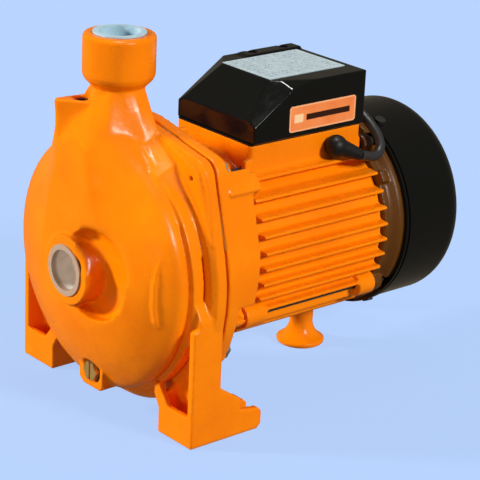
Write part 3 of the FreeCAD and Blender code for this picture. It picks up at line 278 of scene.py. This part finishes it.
def transit_plastic(name, clean, dirty, rim):
    """Soft translucent polyethylene; rim is painted light on the part in front of the suction face.
    """
    s = Shader(name, (0.55, 0.53, 0.5), 0.4, Subsurface_Weight=0.15, Subsurface_Scale=0.002,
               Specular_IOR_Level=0.3)
    tint = s.mix(s.spread(s.noise(110.0, 4.0, 0.6), 0.35, 0.75), clean, dirty)
    # painted light: the rim colour, darker and orange, stands in for the casing's orange light seen
    # through the thin plastic
    s.colour(s.mix(s.spread(s.axis("Y"), RIM_BACK_Y, RIM_FRONT_Y), tint, rim))
    s.roughness(s.spread(s.noise(220.0, 3.0), 0.3, 0.7, 0.34, 0.5))
    s.bump(s.noise(700.0, 2.0), 0.00003)
    return s.material


PLATE_CENTRE_Y = 0.09485
PLATE_PRINT_HALF = (0.0205, 0.0285)      # along X and along Y
PRINT_ROW_PITCH = 0.0042


def printed_plate():
    """Pale foil plate with rows of fine marks that stand for print, inside a plain margin."""
    s = Shader("nameplate", (0.36, 0.45, 0.5), 0.38, 0.15, Specular_IOR_Level=0.3)
    foil = s.mix(s.spread(s.noise(260.0, 3.0), 0.35, 0.7), (0.52, 0.63, 0.68), (0.42, 0.53, 0.58))
    strokes = s.spread(s.noise(900.0, 2.0, 0.6, s.stretched(0.8, 1.0, 1.0)), 0.54, 0.60)
    wave = s.maths("SINE", s.maths("MULTIPLY", s.axis("X"), 2 * math.pi / PRINT_ROW_PITCH))
    rows = s.spread(wave, -0.1, 0.4)
    words = s.spread(s.noise(95.0, 2.0), 0.40, 0.52)
    half_x, half_y = PLATE_PRINT_HALF
    inside_x = s.within(s.maths("ABSOLUTE", s.axis("X")), half_x, 0.0005)
    inside_y = s.within(s.distance(s.axis("Y"), PLATE_CENTRE_Y), half_y, 0.0005)
    marks = s.maths("MULTIPLY", s.maths("MULTIPLY", strokes, rows), words)
    marks = s.maths("MULTIPLY", marks, s.maths("MULTIPLY", inside_x, inside_y))
    s.colour(s.mix(marks, foil, (0.03, 0.045, 0.06)))
    s.bump(s.noise(300.0, 3.0), 0.00004)
    return s.material


LABEL_CENTRE_Y, LABEL_CENTRE_Z = 0.09575, 0.177
LABEL_HALF = (0.0270, 0.0073)            # inside its light edge, along Y and along Z
PILL_AT, PILL_HALF = -0.0205, (0.0036, 0.0026)
BAR_AT, BAR_HALF = 0.0045, (0.0185, 0.0018)
PRINT_EDGE = 0.0003


def side_label():
    """Orange sticker with a light edge, a light pill and a plain dark bar in place of a name."""
    s = Shader("side_label", (0.86, 0.26, 0.08), 0.3, Specular_IOR_Level=0.3)
    across = s.distance(s.axis("Z"), LABEL_CENTRE_Z)
    along = s.maths("SUBTRACT", s.axis("Y"), LABEL_CENTRE_Y)

    def field(at, half):
        return s.maths("MULTIPLY", s.within(s.distance(along, at), half[0], PRINT_EDGE),
                       s.within(across, half[1], PRINT_EDGE))

    edge = s.maths("MAXIMUM", s.beyond(across, LABEL_HALF[1], PRINT_EDGE),
                   s.beyond(s.maths("ABSOLUTE", along), LABEL_HALF[0], PRINT_EDGE))
    tint = s.mix(s.spread(s.noise(70.0, 3.0), 0.35, 0.7), (0.88, 0.27, 0.085), (0.82, 0.21, 0.05))
    tint = s.mix(edge, tint, (0.9, 0.42, 0.2))
    tint = s.mix(field(PILL_AT, PILL_HALF), tint, (0.93, 0.62, 0.34))
    s.colour(s.mix(field(BAR_AT, BAR_HALF), tint, (0.03, 0.008, 0.004)))
    s.bump(s.noise(300.0, 3.0), 0.00003)
    return s.material


def metal(name, colour, rough, stain, metallic=1.0):
    """Bare metal with stains and fine marks."""
    s = Shader(name, colour, rough, metallic)
    fine = s.noise(900.0, 3.0)
    s.colour(s.mix(s.spread(s.noise(180.0, 4.0, 0.6), 0.45, 0.8, 0.0, 0.6), colour, stain))
    s.roughness(s.spread(fine, 0.3, 0.7, rough - 0.08, rough + 0.14))
    s.bump(fine, 0.00003)
    return s.material


def plain(name, colour, rough, marks=0.85):
    """Moulded or pressed material with slight mottling."""
    s = Shader(name, colour, rough)
    darker = tuple(channel * marks for channel in colour)
    s.colour(s.mix(s.spread(s.noise(200.0, 4.0, 0.6), 0.35, 0.75), colour, darker))
    s.roughness(s.spread(s.noise(400.0, 3.0), 0.3, 0.7, rough - 0.06, rough + 0.1))
    s.bump(s.noise(1200.0, 2.0), 0.00004)
    return s.material


def copper_wire():
    """Enamelled wire wound round the shaft: fine turns across the ring."""
    s = Shader("copper_wire", (0.62, 0.2, 0.07), 0.3, 1.0)
    turns = s.tree.nodes.new("ShaderNodeTexWave")
    turns.wave_type, turns.rings_direction = "RINGS", "Y"
    turns.inputs["Scale"].default_value = 260.0
    turns.inputs["Distortion"].default_value = 1.5
    s.link(s.place, turns.inputs["Vector"])
    s.colour(s.mix(turns.outputs["Fac"], (0.35, 0.09, 0.03), (0.68, 0.24, 0.09)))
    s.bump(turns.outputs["Fac"], 0.0003)
    return s.material


SHEET_PITCH = 0.0005


def laminated():
    """Stack of thin steel sheets along the shaft."""
    s = Shader("silicon_steel", (0.3, 0.31, 0.33), 0.45, 1.0)
    sheets = s.maths("SINE", s.maths("MULTIPLY", s.axis("Y"), 2 * math.pi / SHEET_PITCH))
    s.colour(s.mix(s.spread(sheets, -1.0, 1.0), (0.16, 0.165, 0.18), (0.36, 0.37, 0.39)))
    s.bump(sheets, 0.00004)
    return s.material


casting = paint("casting_paint", (0.93, 0.226, 0.001), (0.87, 0.190, 0.001), 0.24, 0.00035)
motor_paint = paint("frame_paint", (0.93, 0.232, 0.001), (0.88, 0.200, 0.001), 0.27, 0.00008)
black = gloss_black()
bright_steel = metal("bright_steel", (0.56, 0.57, 0.58), 0.26, (0.3, 0.29, 0.27))
zinc_steel = metal("zinc_steel", (0.60, 0.60, 0.58), 0.36, (0.33, 0.31, 0.27))
brass = metal("brass", (0.62, 0.38, 0.12), 0.4, (0.30, 0.15, 0.04), metallic=0.6)
# the warm plug's rim colour is painted light, the casing's orange showing through; the cool plug's
# rim is its own colour
warm_plastic = transit_plastic("warm_plastic", (0.80, 0.73, 0.66), (0.68, 0.57, 0.49),
                               (0.44, 0.31, 0.22))
cool_plastic = transit_plastic("cool_plastic", (0.42, 0.58, 0.66), (0.30, 0.46, 0.55),
                               (0.42, 0.58, 0.66))
MATERIALS = {
    casting: ["pump_casing", "motor_bracket", "support_foot"],
    motor_paint: ["motor_frame"],
    black: ["terminal_cover", "fan_cover"],
    # painted shade: the rear end shield is orange-painted like the frame; this dark brown stands in
    # for the deep shade it sits in behind the fins
    plain("shield_paint", (0.11, 0.036, 0.002), 0.35): ["rear_end_shield"],
    rubber(): ["strain_relief", "slinger", "seal_bellows", "terminal_gasket"],
    plain("plug_body", (0.016, 0.016, 0.017), 0.42): ["mains_plug"],
    warm_plastic: ["suction_plug"],
    cool_plastic: ["discharge_plug"],
    brass: ["impeller", "drain_plug", "plug_pins", "impeller_nut"],
    zinc_steel: ["casing_bolts", "support_foot_screw", "earth_screw", "wave_washer",
                 "capacitor_clip"],
    plain("black_steel", (0.02, 0.02, 0.021), 0.35): ["fan_cover_screws", "terminal_cover_screws",
                                                     "priming_plug", "tie_bolts"],
    bright_steel: ["motor_shaft", "impeller_key", "front_bearing_outer", "front_bearing_inner",
                   "front_ball_cage", "rear_bearing_outer", "rear_bearing_inner", "rear_ball_cage"],
    laminated(): ["stator_core", "rotor_core"],
    copper_wire(): ["stator_windings"],
    plain("ceramic", (0.8, 0.79, 0.74), 0.25, 0.95): ["seal_seat"],
    plain("carbon", (0.03, 0.03, 0.032), 0.4): ["seal_face"],
    plain("painted_gasket", (0.40, 0.11, 0.003), 0.6): ["casing_gasket"],
    plain("fibre", (0.10, 0.05, 0.02), 0.8): ["drain_washer"],
    plain("fan_plastic", (0.035, 0.035, 0.038), 0.45): ["cooling_fan"],
    plain("terminal_plastic", (0.62, 0.6, 0.52), 0.45): ["terminal_block"],
    plain("capacitor_can", (0.72, 0.72, 0.70), 0.3): ["capacitor"],
    plain("coil_tie", (0.03, 0.03, 0.03), 0.7): ["coil_tie"],
    printed_plate(): ["nameplate"],
    side_label(): ["side_label"],
}
material_of = {node: material for material, names in MATERIALS.items() for node in names}
cord.data.materials.append(bpy.data.materials["cord_sheath"])     # the frame's own plain one
record = frame["record"]
body_of = {node: body for body, names in record["behaviour"]["bodies"].items() for node in names}
for name, node in nodes.items():
    node.data.materials.clear()
    if name in material_of:
        node.data.materials.append(material_of[name])


# ---- castings and mouldings: the CAD shape with the soft edges that a mould gives ----
MAX_TRIANGLES = 150_000
REGION_PULL = 0.6
SMOOTH_FACTOR = 0.5


def smooth_region(mesh, box, width, passes):
    """Relax the part of a mesh inside a box, fading out over the width beyond it."""
    points = np.empty(len(mesh.vertices) * 3)
    mesh.vertices.foreach_get("co", points)
    points = points.reshape(-1, 3)
    pull = np.full(len(points), REGION_PULL)
    for axis, (low, high) in enumerate(box):
        outside = np.maximum(low - points[:, axis], points[:, axis] - high)
        pull *= np.clip(1.0 - outside / width, 0.0, 1.0)
    edges = np.empty(len(mesh.edges) * 2, dtype=np.int64)
    mesh.edges.foreach_get("vertices", edges)
    edges = edges.reshape(-1, 2)
    edges = edges[(pull[edges] > 0.0).any(axis=1)]
    moving = np.flatnonzero(pull)
    start, end = np.concatenate([edges, edges[:, ::-1]]).T
    keep = pull[start] > 0.0
    start, end = start[keep], end[keep]
    count = np.bincount(start, minlength=len(points))[moving][:, None]
    for _ in range(passes):
        total = np.stack([np.bincount(start, points[end, axis], len(points))[moving]
                          for axis in range(3)], axis=1)
        points[moving] += pull[moving][:, None] * (total / count - points[moving])
    mesh.vertices.foreach_set("co", points.ravel())


# node: regions that run into each other more smoothly, as (box in X, Y and Z, width, passes)
FLOWING = {"pump_casing": [
    (((-0.034, 0.036), (-0.080, -0.046), (0.150, 0.190)), 0.006, 40),      # throat above the disc
    (((0.016, 0.050), (-0.080, -0.052), (0.104, 0.145)), 0.006, 150),      # upper rim of the pocket
    (((0.004, 0.050), (-0.068, -0.052), (0.116, 0.145)), 0.005, 150)]}     # the same, further left


def applied(piece):
    """Gives the piece the mesh that its modifiers make, and removes them."""
    bpy.context.view_layer.update()
    shown = piece.evaluated_get(bpy.context.evaluated_depsgraph_get())
    shape = bpy.data.meshes.new_from_object(shown)
    piece.modifiers.clear()
    piece.data = shape
    return shape


def soften(name, voxel, passes):
    """Stands in for a CAD node: its shape remeshed and relaxed, with edges and corners rounded."""
    mesh = nodes[name].data.copy()
    piece = bpy.data.objects.new(name + "_soft", mesh)
    bpy.context.scene.collection.objects.link(piece)
    remesh = piece.modifiers.new("remesh", "REMESH")
    remesh.mode, remesh.voxel_size, remesh.use_smooth_shade = "VOXEL", voxel, True
    relax = piece.modifiers.new("relax", "SMOOTH")
    relax.factor, relax.iterations = SMOOTH_FACTOR, passes
    shape = applied(piece)
    for region in FLOWING.get(name, []):
        smooth_region(shape, *region)
    triangles = 2 * len(shape.polygons)
    if triangles > MAX_TRIANGLES:
        thin = piece.modifiers.new("thin", "DECIMATE")
        thin.ratio = MAX_TRIANGLES / triangles
        shape = applied(piece)
    shape.materials.clear()
    shape.materials.append(material_of[name])
    shape.polygons.foreach_set("use_smooth", [True] * len(shape.polygons))
    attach(piece, body_of[name])
    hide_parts(name)


# node: voxel size, passes of smoothing
SOFTENED = {
    "pump_casing": (0.8 * MM, 7), "motor_bracket": (1.0 * MM, 4), "motor_frame": (0.9 * MM, 3),
    "support_foot": (0.6 * MM, 5), "terminal_cover": (0.7 * MM, 3),
    "rear_end_shield": (0.9 * MM, 2), "strain_relief": (0.4 * MM, 5), "mains_plug": (0.5 * MM, 5)}
for name, (voxel, passes) in SOFTENED.items():
    soften(name, voxel, passes)


# ---- studio ----
FLOOR_HALF = 6.0
FLOOR_DROP = 0.0001          # just under the feet
FLOOR_GLOW = (0.41, 0.56, 0.86, 1.0)
WORLD_COLOUR = (1.0, 0.86, 0.66, 1.0)
WORLD_STRENGTH = 0.17
LIGHT_AWAY = 2.0
# name, direction from the object, power, apparent width in degrees, seen only in reflections
LIGHTS = [
    ("key", (-0.85, -1.0, 0.5), 4.3, 9.0, False),
    ("side", (1.0, 0.3, 0.6), 3.1, 12.0, False),
    ("fill", (0.3, -1.0, 0.06), 0.7, 12.0, False),
    ("top", (-0.15, 0.22, 0.93), 0.45, 20.0, False),
    ("top_glints", (-0.02, 0.05, 1.0), 1.6, 12.0, True),
    ("side_glints", (1.0, 0.0, 0.6), 1.5, 8.0, True)]


def make_floor():
    mesh = bpy.data.meshes.new("floor")
    sheet = bmesh.new()
    bmesh.ops.create_grid(sheet, x_segments=2, y_segments=2, size=FLOOR_HALF)
    sheet.to_mesh(mesh)
    sheet.free()
    floor = bpy.data.objects.new("floor", mesh)
    floor.location.z = -FLOOR_DROP
    floor.visible_glossy = floor.visible_diffuse = False
    bpy.context.scene.collection.objects.link(floor)
    s = Shader("floor", (0.06, 0.08, 0.12), 1.0, Specular_IOR_Level=0.0, Emission_Strength=1.0)
    s.bsdf.inputs["Emission Color"].default_value = FLOOR_GLOW
    mesh.materials.append(s.material)


def make_sun(name, towards, power, spread, glints):
    """Far light, either for glints alone or to light surfaces without showing in them."""
    data = bpy.data.lights.new(name, "SUN")
    data.energy, data.angle = power, math.radians(spread)
    light = bpy.data.objects.new(name, data)
    light.location = Vector(towards) * LIGHT_AWAY
    light.rotation_euler = Vector(towards).to_track_quat("Z", "Y").to_euler()
    light.visible_glossy, light.visible_diffuse = glints, not glints
    bpy.context.scene.collection.objects.link(light)


def make_studio():
    world = bpy.data.worlds.new("studio")
    world.use_nodes = True
    background = world.node_tree.nodes["Background"]
    background.inputs["Color"].default_value = WORLD_COLOUR
    background.inputs["Strength"].default_value = WORLD_STRENGTH
    bpy.context.scene.world = world
    for light in LIGHTS:
        make_sun(*light)
    bpy.context.scene.view_settings.view_transform = "Standard"


make_floor()
make_studio()
